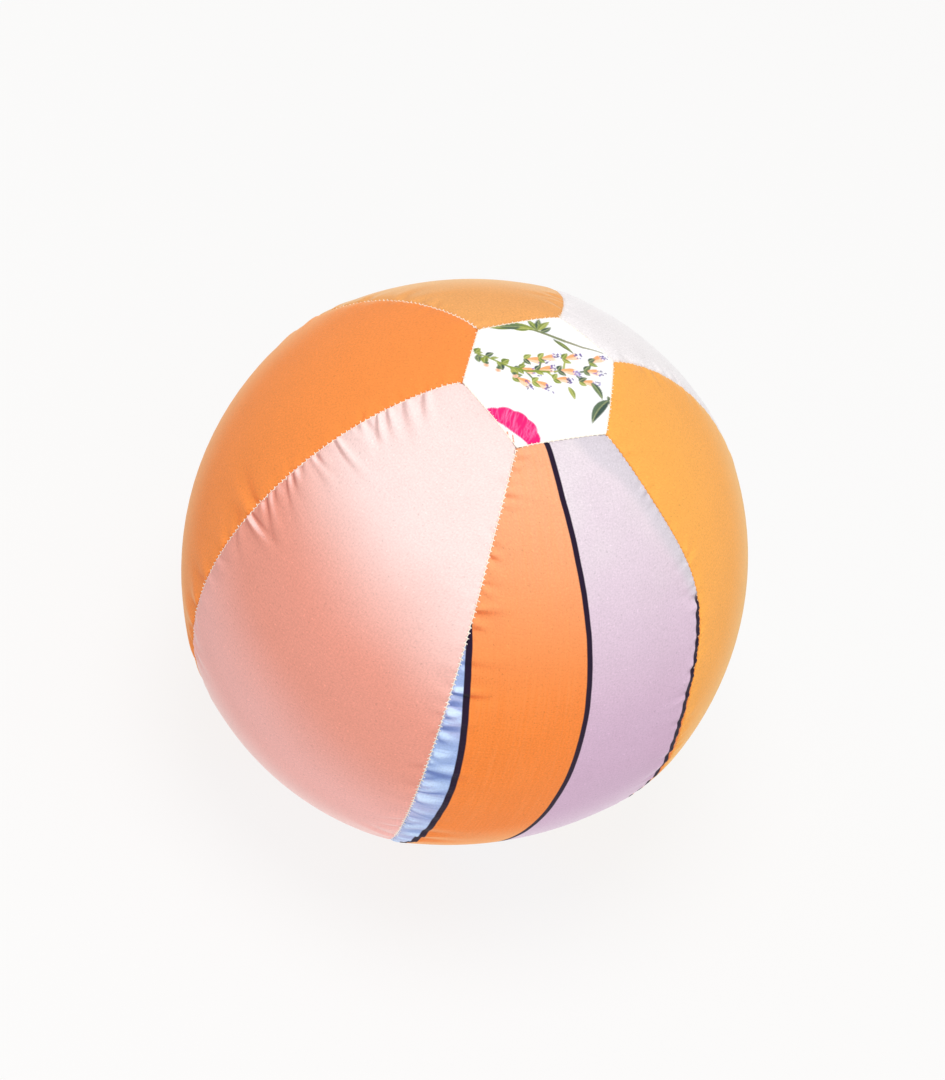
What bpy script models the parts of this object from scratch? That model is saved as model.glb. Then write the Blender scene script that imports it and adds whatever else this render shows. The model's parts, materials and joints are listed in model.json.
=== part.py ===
"""A balloon ball: a sewn cotton cover of six gores and two end panels over a tied latex balloon.

Units are metres and +Z is up. The origin is the centre of the ball, and Z runs through both end panels.
The top panel is a plain hexagon. The bottom one is an opening closed by two overlapping flaps, through
which the balloon goes in. The seams run from top to bottom, 60 degrees apart, the first one at -Y.
"""

import math

import bmesh
import bpy
import numpy as np
from mathutils import Vector

# The ball
BALL_RADIUS = 0.125
GORE_COUNT = 6
GORE_ANGLE = 2 * math.pi / GORE_COUNT
FIRST_SEAM = -math.pi / 2
GORE_SAG = 0.016 * BALL_RADIUS
END_PANEL_ACROSS_CORNERS = 0.076
END_FLAT_RADIUS = 0.039

# The cloth and its seams
CLOTH = 0.0005
GAP = 0.0003
ROLL = 0.0008
SEAM_ALLOWANCE = 0.003
THREAD_RADIUS = 0.0002
THREAD_DEPTH = 0.00035

# The two flaps of the closure
FLAP_CLEARANCE = 0.0007
OUTER_FLAP_REACH = 0.025
INNER_FLAP_REACH = 0.015
FLAP_RECESS = 0.0007
FLAP_STEP = 0.0013
HEM_WIDTH = 0.005
HEM_THREAD_GAP = 0.0001

# The balloon
BALLOON_RADIUS = 0.1205
BALLOON_END_HEIGHT = 0.1140
LATEX = 0.0004
DIMPLE_RADIUS = 0.022
DIMPLE_DEPTH = 0.016
NECK_RADIUS = 0.0024
NECK_LENGTH = 0.0125
LIP_RADIUS = 0.0042
KNOT_CORD_RADIUS = 0.0016
KNOT_TURNS = 1.6

# How finely the surfaces are divided
GORE_COLUMNS = 6
GORE_ROWS = 16
PANEL_SIDE_POINTS = 5
PANEL_RINGS = 4
FLAP_COLUMNS = 10
BALLOON_STEPS = 26

# The end panel's corners and flats, as angles from the pole
CORNER_COLATITUDE = math.asin(END_PANEL_ACROSS_CORNERS / 2 / BALL_RADIUS)
FLAT_COLATITUDE = math.atan(math.tan(CORNER_COLATITUDE) * math.cos(GORE_ANGLE / 2))

# The ball is cut flat at both ends, just outside the end panels' corners
END_COLATITUDE = math.asin(END_FLAT_RADIUS / BALL_RADIUS)
END_HEIGHT = BALL_RADIUS * math.cos(END_COLATITUDE)
HINGE_Z = FLAP_RECESS - END_HEIGHT
HINGE_X = -HINGE_Z * math.tan(FLAT_COLATITUDE)

# Name, the seam it starts from and its colour, anticlockwise from the seam at -Y
GORES = (
    ("gore_printed", 0, (0.70, 0.42, 0.45)),
    ("gore_amber", 1, (1.0, 0.45, 0.12)),
    ("gore_white", 2, (0.90, 0.90, 0.90)),
    ("gore_apricot", 3, (0.93, 0.42, 0.15)),
    ("gore_orange", 4, (1.0, 0.28, 0.06)),
    ("gore_pink", 5, (0.92, 0.60, 0.52)),
)


def clear_scene():
    """Removes every object of the scene."""
    for old in list(bpy.data.objects):
        bpy.data.objects.remove(old, do_unlink=True)


def new_collection(name):
    """Adds a collection to the scene."""
    collection = bpy.data.collections.new(name)
    bpy.context.scene.collection.children.link(collection)
    return collection


def new_material(name, colour, roughness):
    """A Principled material of one colour."""
    material = bpy.data.materials.new(name)
    material.use_nodes = True
    material.diffuse_color = (*colour, 1.0)
    shader = material.node_tree.nodes["Principled BSDF"]
    shader.inputs["Base Color"].default_value = (*colour, 1.0)
    shader.inputs["Roughness"].default_value = roughness
    shader.inputs["Metallic"].default_value = 0.0
    return material


def add_object(name, data, material, parent=None):
    """Puts a mesh or curve in the ball's collection, with its origin where its parent is."""
    piece = bpy.data.objects.new(name, data)
    data.materials.append(material)
    BALL.objects.link(piece)
    piece.parent = parent
    return piece


def add_pivot(name, location):
    """An empty on a joint's axis, which the moving pieces are parented to."""
    pivot = bpy.data.objects.new(name, None)
    pivot.location = location
    pivot.empty_display_size = 0.02
    BALL.objects.link(pivot)
    return pivot


def direction(longitude, colatitude):
    """The unit vector at a longitude and an angle from +Z."""
    ring = math.sin(colatitude)
    return Vector((ring * math.cos(longitude), ring * math.sin(longitude), math.cos(colatitude)))


def panel_edge(turn, inset):
    """The colatitude of the end panel's edge at an angle from the middle of one of its flats.

    The edge is a straight line of the flat hexagon laid on the ball; inset moves it outwards from
    the pole by that length."""
    edge = math.atan(math.tan(FLAT_COLATITUDE) / math.cos(turn))
    return edge + inset / BALL_RADIUS / math.cos(turn)


def mapped_grid(columns, rows, place):
    """A grid of columns by rows faces, each point put where place(column, row) says."""
    mesh = bmesh.new()
    bmesh.ops.create_grid(mesh, x_segments=columns, y_segments=rows, size=1)
    for point in mesh.verts:
        column = round((point.co.x + 1) / 2 * columns)
        row = round((point.co.y + 1) / 2 * rows)
        point.co = place(column, row)
    return mesh


def turn_under(mesh, depth):
    """Turns the cloth's edge in towards the ball's centre, as a seam allowance."""
    border = [edge for edge in mesh.edges if edge.is_boundary]
    turned = bmesh.ops.extrude_edge_only(mesh, edges=border)["geom"]
    for point in turned:
        if isinstance(point, bmesh.types.BMVert):
            point.co *= 1 - depth / point.co.length


def finish_cloth(name, mesh, material, parent=None):
    """Makes the cloth's outer face into an object of the cloth's thickness."""
    bmesh.ops.recalc_face_normals(mesh, faces=mesh.faces)
    outwards = sum(face.normal.dot(face.calc_center_median()) * face.calc_area() for face in mesh.faces)
    if outwards < 0:
        bmesh.ops.reverse_faces(mesh, faces=mesh.faces)
    if parent:
        bmesh.ops.translate(mesh, verts=mesh.verts, vec=-parent.location)
    data = bpy.data.meshes.new(name)
    mesh.to_mesh(data)
    mesh.free()
    data.shade_smooth()
    data.set_sharp_from_angle(angle=math.radians(40))
    piece = add_object(name, data, material, parent)
    solidify = piece.modifiers.new("cloth", "SOLIDIFY")
    solidify.thickness = CLOTH
    solidify.offset = -1
    solidify.use_even_offset = True
    solidify.use_quality_normals = True
    return piece


def across_cloth(divisions):
    """Points from one edge of a panel to the other, with the rolled edges between the even divisions.

    Each is (share of the way across, distance from the nearer edge, drop below the surface), where
    the distance has a minus sign at the far edge."""
    angles = (0, math.pi / 4, math.pi / 2)
    rolled = [(GAP / 2 + ROLL * (1 - math.cos(a)), ROLL * (1 - math.sin(a))) for a in angles]
    near = [(0.0, distance, drop) for distance, drop in rolled]
    middle = [(i / divisions, 0.0, 0.0) for i in range(1, divisions)]
    far = [(1.0, -distance, drop) for distance, drop in reversed(rolled)]
    return near + middle + far


def ball_radius(colatitude, sag=0.0):
    """The distance of the ball's surface from its centre, at an angle from +Z."""
    return min(BALL_RADIUS - sag, END_HEIGHT / max(abs(math.cos(colatitude)), 0.001))


def make_gore(name, seam, material):
    """One gore, from its seam to the next and from the top panel to the closure.

    Its two ends lie in the flats of the ball, and the lower one is part of what the ball rests on."""
    across = across_cloth(GORE_COLUMNS)
    end_rows = [point for point in across_cloth(1) if point[0] == 0.0]
    end_count = len(end_rows)
    row_count = 2 * end_count + GORE_ROWS + 1
    middle = FIRST_SEAM + GORE_ANGLE * (seam + 0.5)

    def row_place(row, turn):
        """(angle from +Z, share of the way between the flats, drop) of a row."""
        if row >= row_count / 2:
            colatitude, share, drop = row_place(row_count - 1 - row, turn)
            return math.pi - colatitude, 1 - share, drop
        if row < end_count:
            _, distance, drop = end_rows[row]
            return panel_edge(turn, distance), 0.0, drop
        share = (row - end_count) / GORE_ROWS
        return END_COLATITUDE + (math.pi - 2 * END_COLATITUDE) * share, share, 0.0

    def place(column, row):
        share_across, distance, drop_across = across[column]
        turn = GORE_ANGLE * (share_across - 0.5)
        colatitude = row_place(row, turn)[0]
        turn += math.asin(distance / BALL_RADIUS / math.sin(colatitude))
        colatitude, share_along, drop_along = row_place(row, turn)
        sag = GORE_SAG * math.cos(turn * GORE_COUNT / 2) ** 2 * math.sin(math.pi * share_along)
        radius = ball_radius(colatitude, sag) - max(drop_across, drop_along)
        return direction(middle + turn, colatitude) * radius

    mesh = mapped_grid(len(across) - 1, row_count - 1, place)
    turn_under(mesh, SEAM_ALLOWANCE)
    return finish_cloth(name, mesh, material)


def make_top_panel(material):
    """The hexagon at the top, with its edges turned under like a gore's."""
    edge = [point for point in across_cloth(PANEL_RINGS) if point[0] == 1.0]
    rings = [(i / PANEL_RINGS, 0.0, 0.0) for i in range(PANEL_RINGS)] + edge
    columns = GORE_COUNT * PANEL_SIDE_POINTS

    def place(column, row):
        share, distance, drop = rings[row]
        angle = GORE_ANGLE * column / PANEL_SIDE_POINTS
        turn = angle % GORE_ANGLE - GORE_ANGLE / 2
        colatitude = math.atan(share * math.tan(panel_edge(turn, distance)))
        return direction(FIRST_SEAM + angle, colatitude) * (ball_radius(colatitude) - drop)

    mesh = mapped_grid(columns, len(rings) - 1, place)
    bmesh.ops.remove_doubles(mesh, verts=mesh.verts, dist=0.00001)
    turn_under(mesh, SEAM_ALLOWANCE)
    return finish_cloth("top_panel", mesh, material)


def flap_half_width(x):
    """Half the width of the closure's hexagon at a distance x from its middle."""
    return (HINGE_X - abs(x) * math.sin(GORE_ANGLE / 2)) / math.cos(GORE_ANGLE / 2)


def flap_point(x, y, side, step):
    """The place on a flap at (x, y) of the closure's hexagon, x being towards its hinge.

    side is 1 for a flap hinged at +X and -1 for one at -X, and step is how far it runs inside."""
    away = min(1.0, (HINGE_X - x) / (HINGE_X - OUTER_FLAP_REACH))
    return Vector((x * side, y, HINGE_Z + step * math.sin(away * math.pi / 2)))


def make_flap(name, side, reach, step, material, pivot):
    """A tongue sewn to one flat of the closure's hexagon and free on its other sides."""
    stops = [*np.linspace(HINGE_X - FLAP_CLEARANCE, 0, 9), *np.linspace(0, -reach, 5)[1:]]

    def place(column, row):
        x = stops[row]
        half_width = flap_half_width(x) - FLAP_CLEARANCE / math.cos(GORE_ANGLE / 2)
        return flap_point(x, half_width * (2 * column / FLAP_COLUMNS - 1), side, step)

    mesh = mapped_grid(FLAP_COLUMNS, len(stops) - 1, place)
    return finish_cloth(name, mesh, material, pivot)


def make_thread(name, points, material, closed=False, parent=None):
    """A run of sewing thread through the points."""
    shift = parent.location if parent else Vector()
    curve = bpy.data.curves.new(name, "CURVE")
    curve.dimensions = "3D"
    curve.bevel_depth = THREAD_RADIUS
    curve.bevel_resolution = 0
    curve.use_fill_caps = True
    spline = curve.splines.new("POLY")
    spline.points.add(len(points) - 1)
    for handle, point in zip(spline.points, points):
        handle.co = (*(point - shift), 1.0)
    spline.use_cyclic_u = closed
    return add_object(name, curve, material, parent)


def make_seam_threads(material):
    """One thread down each of the six long seams."""
    end = CORNER_COLATITUDE + 0.002 / BALL_RADIUS
    radius = BALL_RADIUS - THREAD_DEPTH
    for seam in range(GORE_COUNT):
        longitude = FIRST_SEAM + GORE_ANGLE * seam
        stops = [end + (math.pi - 2 * end) * i / GORE_ROWS for i in range(GORE_ROWS + 1)]
        points = [direction(longitude, colatitude) * radius for colatitude in stops]
        make_thread(f"seam_thread_{seam + 1}", points, material)


def make_top_panel_thread(material):
    """The thread round the top panel's hexagon."""
    points = []
    for column in range(GORE_COUNT * PANEL_SIDE_POINTS):
        angle = GORE_ANGLE * column / PANEL_SIDE_POINTS
        colatitude = panel_edge(angle % GORE_ANGLE - GORE_ANGLE / 2, 0)
        radius = ball_radius(colatitude) - THREAD_DEPTH
        points.append(direction(FIRST_SEAM + angle, colatitude) * radius)
    return make_thread("top_panel_thread", points, material, closed=True)


def make_flap_seam_thread(name, side, material):
    """The thread that sews a flap to its gore, along the flap's hinge line."""
    half_length = flap_half_width(HINGE_X) - 0.002
    points = []
    for share in np.linspace(-1, 1, 5):
        points.append(Vector(((HINGE_X - THREAD_RADIUS) * side, half_length * share, HINGE_Z)))
    return make_thread(name, points, material)


def make_hem_thread(name, side, reach, step, material, pivot):
    """The stitching along a flap's hem, a hem's width inside its free sides."""
    stops = [*np.linspace(HINGE_X - HEM_WIDTH, 0, 8), *np.linspace(0, HEM_WIDTH - reach, 5)[1:]]
    inset = HEM_WIDTH / math.cos(GORE_ANGLE / 2)
    outline = [(x, flap_half_width(x) - inset) for x in stops]
    end_x, end_y = outline[-1]
    outline += [(end_x, end_y * share) for share in (0.75, 0.5, 0.25, 0, -0.25, -0.5, -0.75)]
    outline += [(x, inset - flap_half_width(x)) for x in reversed(stops)]
    height = THREAD_RADIUS + HEM_THREAD_GAP
    points = []
    for x, y in outline:
        points.append(flap_point(x, y, side, step) - Vector((0, 0, height)))
    return make_thread(name, points, material, parent=pivot)


def dimple_height(x):
    """The height of the balloon's underside at a distance x from its axis."""
    return DIMPLE_DEPTH * (1 + math.cos(math.pi * x / DIMPLE_RADIUS)) / 2 - BALLOON_END_HEIGHT


def make_balloon(material):
    """The latex skin, turned from its profile, with the tied neck hanging in a dimple at the base."""
    top_angle = math.acos(BALLOON_END_HEIGHT / BALLOON_RADIUS)
    profile = [(0, BALLOON_END_HEIGHT)]
    for angle in np.linspace(top_angle, math.pi - top_angle, 13):
        profile.append((BALLOON_RADIUS * math.sin(angle), BALLOON_RADIUS * math.cos(angle)))
    for x in np.linspace(DIMPLE_RADIUS, NECK_RADIUS + 0.001, 6)[1:]:
        profile.append((x, dimple_height(x)))
    neck_top = dimple_height(NECK_RADIUS) - 0.001
    neck_end = neck_top - NECK_LENGTH
    profile.append((NECK_RADIUS, neck_top))
    profile.append((NECK_RADIUS, neck_end))
    profile.append((LIP_RADIUS, neck_end - 0.0012))
    mesh = bmesh.new()
    points = [mesh.verts.new((x, 0, z)) for x, z in profile]
    for first, second in zip(points, points[1:]):
        mesh.edges.new((first, second))
    data = bpy.data.meshes.new("balloon")
    mesh.to_mesh(data)
    mesh.free()
    balloon = add_object("balloon", data, material)
    screw = balloon.modifiers.new("turned", "SCREW")
    screw.steps = BALLOON_STEPS
    screw.render_steps = BALLOON_STEPS
    screw.use_merge_vertices = True
    screw.merge_threshold = 0.00001
    screw.use_smooth_shade = True
    skin = balloon.modifiers.new("latex", "SOLIDIFY")
    skin.thickness = LATEX
    skin.offset = -1
    skin.use_even_offset = True
    return balloon


def make_knot(material):
    """The balloon's tied knot, a coil of its own neck round the neck."""
    coil = NECK_RADIUS + KNOT_CORD_RADIUS + GAP
    pitch = 2 * KNOT_CORD_RADIUS + GAP
    top = dimple_height(coil + KNOT_CORD_RADIUS) - KNOT_CORD_RADIUS - GAP
    count = 20
    curve = bpy.data.curves.new("balloon_knot", "CURVE")
    curve.dimensions = "3D"
    curve.bevel_depth = KNOT_CORD_RADIUS
    curve.bevel_resolution = 1
    curve.use_fill_caps = True
    spline = curve.splines.new("POLY")
    spline.points.add(count - 1)
    for i, handle in enumerate(spline.points):
        angle = 2 * math.pi * KNOT_TURNS * i / (count - 1)
        height = top - pitch * angle / (2 * math.pi)
        handle.co = (coil * math.cos(angle), coil * math.sin(angle), height, 1.0)
    return add_object("balloon_knot", curve, material)


clear_scene()
BALL = new_collection("balloon_ball")

for gore_name, first_seam, gore_colour in GORES:
    make_gore(gore_name, first_seam, new_material(gore_name, gore_colour, 0.9))
make_top_panel(new_material("top_panel", (0.92, 0.90, 0.88), 0.9))

outer_hinge = add_pivot("outer_flap_hinge_line", Vector((HINGE_X, 0, HINGE_Z)))
inner_hinge = add_pivot("inner_flap_hinge_line", Vector((-HINGE_X, 0, HINGE_Z)))
printed_cloth = new_material("outer_flap", (0.92, 0.90, 0.88), 0.9)
plain_cloth = new_material("inner_flap", (0.90, 0.89, 0.86), 0.9)
make_flap("outer_flap", 1, OUTER_FLAP_REACH, 0, printed_cloth, outer_hinge)
make_flap("inner_flap", -1, INNER_FLAP_REACH, FLAP_STEP, plain_cloth, inner_hinge)

cotton_thread = new_material("thread", (0.86, 0.80, 0.68), 0.8)
make_seam_threads(cotton_thread)
make_top_panel_thread(cotton_thread)
make_flap_seam_thread("outer_flap_seam_thread", 1, cotton_thread)
make_flap_seam_thread("inner_flap_seam_thread", -1, cotton_thread)
make_hem_thread("outer_flap_hem_thread", 1, OUTER_FLAP_REACH, 0, cotton_thread, outer_hinge)
make_hem_thread("inner_flap_hem_thread", -1, INNER_FLAP_REACH, FLAP_STEP, cotton_thread, inner_hinge)

latex = new_material("latex", (0.87, 0.80, 0.66), 0.35)
make_balloon(latex)
make_knot(latex)
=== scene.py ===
"""The looks of a balloon ball: a sewn cotton cover over a blown-up latex balloon.

The cover has six gores and a printed top panel, and two flaps close its base. Everything is in
metres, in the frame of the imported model. The ball's centre is the origin, +Z runs through the top
panel and -Y through the seam between the pink and the printed gore. A place on the cover is a
longitude, and a colatitude, which is the angle from +Z.
"""

import json
import math

import bmesh
import bpy
import numpy as np
from mathutils import Matrix, Vector


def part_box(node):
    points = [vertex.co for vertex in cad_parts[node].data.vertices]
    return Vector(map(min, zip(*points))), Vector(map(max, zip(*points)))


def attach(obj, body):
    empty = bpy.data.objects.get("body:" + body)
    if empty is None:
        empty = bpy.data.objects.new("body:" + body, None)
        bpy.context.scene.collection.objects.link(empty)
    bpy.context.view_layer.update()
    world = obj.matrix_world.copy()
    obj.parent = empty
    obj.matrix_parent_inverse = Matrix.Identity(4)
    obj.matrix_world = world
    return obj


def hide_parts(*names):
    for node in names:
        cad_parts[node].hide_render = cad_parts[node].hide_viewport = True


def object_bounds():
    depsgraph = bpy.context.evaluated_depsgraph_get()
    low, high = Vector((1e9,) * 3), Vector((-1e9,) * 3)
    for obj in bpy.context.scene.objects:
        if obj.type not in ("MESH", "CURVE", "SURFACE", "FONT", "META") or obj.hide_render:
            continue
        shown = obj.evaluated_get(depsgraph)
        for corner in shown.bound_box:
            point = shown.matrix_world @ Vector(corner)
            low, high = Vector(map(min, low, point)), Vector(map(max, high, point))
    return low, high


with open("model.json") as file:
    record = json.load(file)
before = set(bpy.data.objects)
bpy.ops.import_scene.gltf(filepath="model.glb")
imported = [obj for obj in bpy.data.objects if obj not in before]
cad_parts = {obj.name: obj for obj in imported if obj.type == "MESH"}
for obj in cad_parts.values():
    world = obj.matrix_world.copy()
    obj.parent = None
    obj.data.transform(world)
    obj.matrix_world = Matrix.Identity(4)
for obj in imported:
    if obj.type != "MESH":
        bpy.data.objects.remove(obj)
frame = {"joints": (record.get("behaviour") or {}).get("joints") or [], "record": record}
CAD_LOW, CAD_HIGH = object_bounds()

MM = 0.001
BALL_RADIUS = CAD_HIGH.y
BASE_HEIGHT = -CAD_LOW.z
GORE_COUNT = 6
GORE_ANGLE = 2 * math.pi / GORE_COUNT
FIRST_SEAM = -math.pi / 2
PANEL_CORNER = math.atan(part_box("top_panel")[1].y / BASE_HEIGHT)
HEXAGON = math.cos(math.pi / 6)
HINGES = {joint["name"]: Vector(joint["pos_m"]) for joint in frame["joints"]}

# How the cover stands proud of its flat ends, and the least cosine of the colatitude on them
CROWN_RISE = 2.2 * MM
CROWN_RING = 42 * MM
FLAT_BLEND = 1.2 * MM
FLAT_COSINE = 0.5

# The cloth and how its edges roll down into the seams
CLOTH = 0.35 * MM
SEAM_GAP = 0.12 * MM
ROLL = 0.9 * MM
ROLL_ANGLES = np.radians((0, 18, 36, 54, 72, 90))
ALLOWANCE = 2.2 * MM
END_ALLOWANCE = 3.1 * MM
PINCH_DEPTH = 0.5 * MM
PINCH_WIDTH = 3.5 * MM
SCALLOP_DEPTH = 0.4 * MM
SCALLOP_WIDTH = 1.1 * MM

# The stitches, the thread down each seam's valley, and how much deeper each seam's thread lies
STITCH = 2.3 * MM
STITCH_REACH = 0.8 * MM
ZIGZAG = 0.22 * MM
THREAD = 0.2 * MM
THREAD_LIFT = 0.7 * THREAD
THREAD_END_DROP = 2.2 * THREAD
LINE_DEPTH = 0.42 * MM
STITCH_POINTS = 7
VALLEY_POINTS = 260
SIDE_VALLEY_POINTS = 60
THREAD_SINK = (0.0, 0.5 * MM, 0.3 * MM, 0.3 * MM, 0.05 * MM, 0.13 * MM)

# The grid of a sheet: where it starts beside a rolled edge, its first step there, and beside a long
# seam and beside an end how wide the fine part is and how each step grows
GRID_START = 1.5 * MM
GRID_STEP = 0.55 * MM
SIDE_ZONE = 15 * MM
SIDE_GROWTH = 1.13
END_ZONE = 6 * MM
END_GROWTH = 1.05
GORE_ROWS = 600
GORE_MIDDLE_COLUMNS = 18
EDGE_PASSES = 6

# How hand cutting moved each seam, in degrees: the shift of its top corner, the top corner's
# colatitude, how far the seam bows out half way down, and a slower wave along it
SEAMS = (
    (-0.7, 19.4, 0.4, 0.0),
    (1.0, 18.7, -1.4, 3.3),
    (5.9, 18.6, -3.0, 0.0),
    (-9.3, 19.1, 2.1, 0.0),
    (-4.4, 14.8, -3.6, 0.0),
    (-1.5, 14.8, 0.5, 0.0),
)
CORNER_FADE = 45.0

# The slower wave, in degrees: where it crests, its length, where it is strongest and how far it reaches
WAVE_CREST = 52
WAVE_LENGTH = 68
WAVE_MIDDLE = 60
WAVE_REACH = 35

# The gores anticlockwise from the seam at -Y, and how far the middle of each lies inside the ball,
# as a share of its radius
GORES = ("gore_printed", "gore_amber", "gore_white", "gore_apricot", "gore_orange", "gore_pink")
HOLLOWS = (0.034, 0.0187, 0.008, 0.030, 0.0187, 0.004)

# Puckers along the seams: gore, its first (0) or second (1) seam, the colatitudes in degrees between
# which they lie, their height in mm, their spacing in mm and how far they reach in mm
PUCKERS = (
    (5, 0, 22, 68, 1.35, 6.5, 14),
    (5, 0, 68, 160, 0.6, 9.0, 10),
    (5, 1, 25, 85, 0.35, 9.0, 8),
    (5, 1, 85, 160, 0.6, 11.0, 12),
    (0, 0, 18, 58, 0.7, 7.0, 11),
    (0, 0, 59, 150, 1.1, 7.5, 13),
    (0, 0, 61, 125, 0.55, 13.0, 26),
    (0, 1, 20, 58, 0.4, 6.0, 9),
    (0, 1, 58, 150, 0.9, 6.5, 9),
    (1, 0, 20, 160, 0.3, 8.0, 8),
    (1, 1, 20, 160, 0.5, 7.5, 9),
    (2, 0, 20, 160, 0.45, 8.0, 9),
    (2, 1, 20, 160, 0.5, 8.0, 9),
    (3, 0, 18, 160, 0.5, 8.0, 9),
    (3, 1, 16, 60, 0.45, 9.0, 14),
    (3, 1, 60, 160, 0.6, 8.0, 9),
    (4, 0, 18, 60, 0.25, 9.0, 9),
    (4, 0, 60, 150, 0.6, 12.0, 16),
    (4, 1, 18, 62, 0.25, 8.0, 8),
    (4, 1, 64, 150, 0.75, 13.0, 18),
)
PUCKER_FADE = 6 * MM
# The lift at which a pucker's painted light and shade is full
FULL_FOLD = 2 * MM

# The ranges that single puckers are drawn from: their height, width and length as shares of the
# row's, their slant, and the way to the next as a share of the row's spacing
PUCKER_HEIGHTS = (0.3, 1.2)
PUCKER_WIDTHS = (0.17, 0.32)
PUCKER_LENGTHS = (0.45, 1.25)
PUCKER_SLANTS = (-0.35, 0.35)
PUCKER_STEPS = (0.5, 1.5)

# Seeds of the random draws
PUCKER_SEED = 1000
SEAM_SEED = 50
TOP_SEED = 60
SPRAY_SEED = 200

# The top panel's grid, and its puckers as above, run along each side from its first corner
PRINT_GRID = 0.42 * MM
TOP_RINGS = 80
TOP_SIDE_POINTS = 66
TOP_PUCKERS = (6, 0, 1, 20, 0.12, 6.0, 5)

# The flaps of the closure: name, the side of the hinge, how far it runs past the middle of the
# opening, and how much further inside the ball it lies
FLAPS = (("outer_flap", 1, 25 * MM, 0.0), ("inner_flap", -1, 15 * MM, 1.3 * MM))
FLAP_GAP = 0.7 * MM
FLAP_STEP_REACH = 25 * MM
FLAP_ROWS = 150
FLAP_COLUMNS = 190
FLAP_WAVE = 0.15 * MM
HEM_WIDTH = 5 * MM
HEM_SLOPE = 0.35 * MM
HEM_RISE = 0.2 * MM
HEM_NIP = 0.18 * MM
HEM_NIP_WIDTH = 0.5 * MM
HEM_STITCH_INSET = 0.8 * MM
HEM_WAVE = 0.08 * MM
HEM_POINTS = 60
HEM_BANDS = 8
HEM_FOLD_LIFT = 0.1 * MM
HEM_FOLD_ROUND = 0.25 * MM
HEM_FOLD_EDGE = 0.8 * MM
DASH = 0.78

# The balloon
BALLOON_RADIUS = 120.5 * MM
BALLOON_BASE = 114 * MM
BALLOON_CLEARANCE = 1.3 * MM
LATEX = 0.3 * MM
DIMPLE_RADIUS = 22 * MM
DIMPLE_DEPTH = 16 * MM
WRINKLE = 0.25 * MM
NECK_RADIUS = 2.4 * MM
NECK_LENGTH = 12.5 * MM
LIP_RADIUS = 4.0 * MM
LIP_CORD = 0.7 * MM
KNOT_CORD = 1.6 * MM
KNOT_TURNS = 1.6
CORD_ROUNDNESS = 4

# The balloon's grid: points round it, and rows down its side, its base, its dimple and its neck
BALLOON_COLUMNS = 181
BALLOON_ROWS = 90
BASE_ROWS = 10
DIMPLE_ROWS = 26
NECK_ROWS = 14
COIL_POINTS = 70
LIP_POINTS = 72

# The botanical print: how soft its edges are in mm, its colours in sRGB with leaves, buds and the
# bloom as (colour, shade), and a bell as (colour, shade, rim)
EDGE_BLUR = 0.45
FLORAL_GROUND = (246, 245, 246)
GREENS = (
    ((136, 150, 62), (104, 122, 58)),
    ((104, 124, 84), (66, 88, 72)),
    ((160, 168, 84), (122, 136, 62)),
    ((88, 108, 84), (58, 78, 70)),
)
LEAF_RIB = (214, 214, 150)
VIOLETS = ((84, 60, 140), (124, 104, 186), (60, 44, 104))
BUD = ((250, 200, 176), (244, 168, 132))
BELL = ((252, 204, 172), (246, 166, 112), (252, 226, 216))
BLOOM = ((240, 22, 112), (252, 120, 172))
STALK = (236, 142, 110)
BRANCH = (120, 128, 84)
TWIG = (140, 140, 108)

# Where a spray of the print lies, in mm and degrees: across, up and turned
TOP_SPRAYS = ((0.0, 0.0, 0.0),)
FLAP_SPRAYS = ((-12.0, 34.0, 35.0), (16.0, -8.0, 35.0))

# A spray's shapes in mm (across, up): the branch's long leaves as foot, length and rise, the tips of
# its short leaves, the sprig's stem, and the dark leaves as start, end, width, green and bend
FEATHER = ((-3, 11, 2.0), (-6, 12, 0.4), (-5, 9, -2.4), (-10, 12, -5.2), (-9, 9, -3.2))
TUFT = ((-7, 32), (-2, 34), (2.5, 33.5))
SPRIG = ((-25, 2.6), (-17.5, 1.0), (-10.5, -0.8), (-3, -0.6), (6, 2.6), (17, 7.4), (30, 12))
DARK_LEAVES = (
    ((33, -2), (27.6, -18.5), 4.6, 3, -0.3),
    ((32, 0), (36, -6), 3.4, 3, 0.3),
    ((24, 4), (30, -3.4), 3.2, 1, 0.3),
    ((15, -2.5), (18.6, -8.6), 2.4, 2, 0.25),
)

# The weave, and the dyed and printed colours in sRGB, some with painted light and shade as marked
YARN = 0.42 * MM
YARN_RELIEF = 0.10 * MM
AMBER = (238, 164, 75)
WHITE = (229, 224, 225)
APRICOT = (226, 158, 90)
ORANGE = (235, 136, 62)
BLUSH = (237, 208, 204)
DUSTY_PINK = (220, 145, 127)
# Painted rim light: the paler pink towards the bottom of the pink gore
RIM_LIT_PINK = (232, 172, 165)
NATURAL = (226, 216, 196)
# Painted light: the printed orange's paler top
PRINT_ORANGE_LIT_TOP = (234, 164, 123)
PRINT_ORANGE = (232, 126, 49)
PRINT_ORANGE_STREAK = (240, 150, 84)
SLIVER_ORANGE = (228, 124, 52)
LILAC_TOP = (216, 206, 211)
LILAC = (198, 166, 190)
LILAC_BLOTCH = (206, 180, 202)
PALE_GREY = (201, 193, 201)
PALE_BLUE = (178, 180, 216)
SKY_BLUE = (150, 172, 216)
# Painted highlight and painted shade of folds in the blue band
FOLD_HIGHLIGHT_BLUE = (196, 216, 240)
FOLD_SHADE_BLUE = (122, 144, 200)
INK = (28, 8, 38)
THREAD_LIGHT = (255, 250, 240)
THREAD_DARK = (240, 228, 208)
LATEX_DARK = (236, 214, 176)
LATEX_LIGHT = (246, 230, 200)

# How much the painted light and shade of folds, and flecks, thick yarns, clouds of dye and grain change the
# cloth's brightness
FOLD_PAINTED_SHADING = 0.17
FLECK_SHADE = 0.14
SLUB_SHADE = 0.1
CLOUD_SHADE = 0.08
GRAIN_SHADE = 0.5

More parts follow.
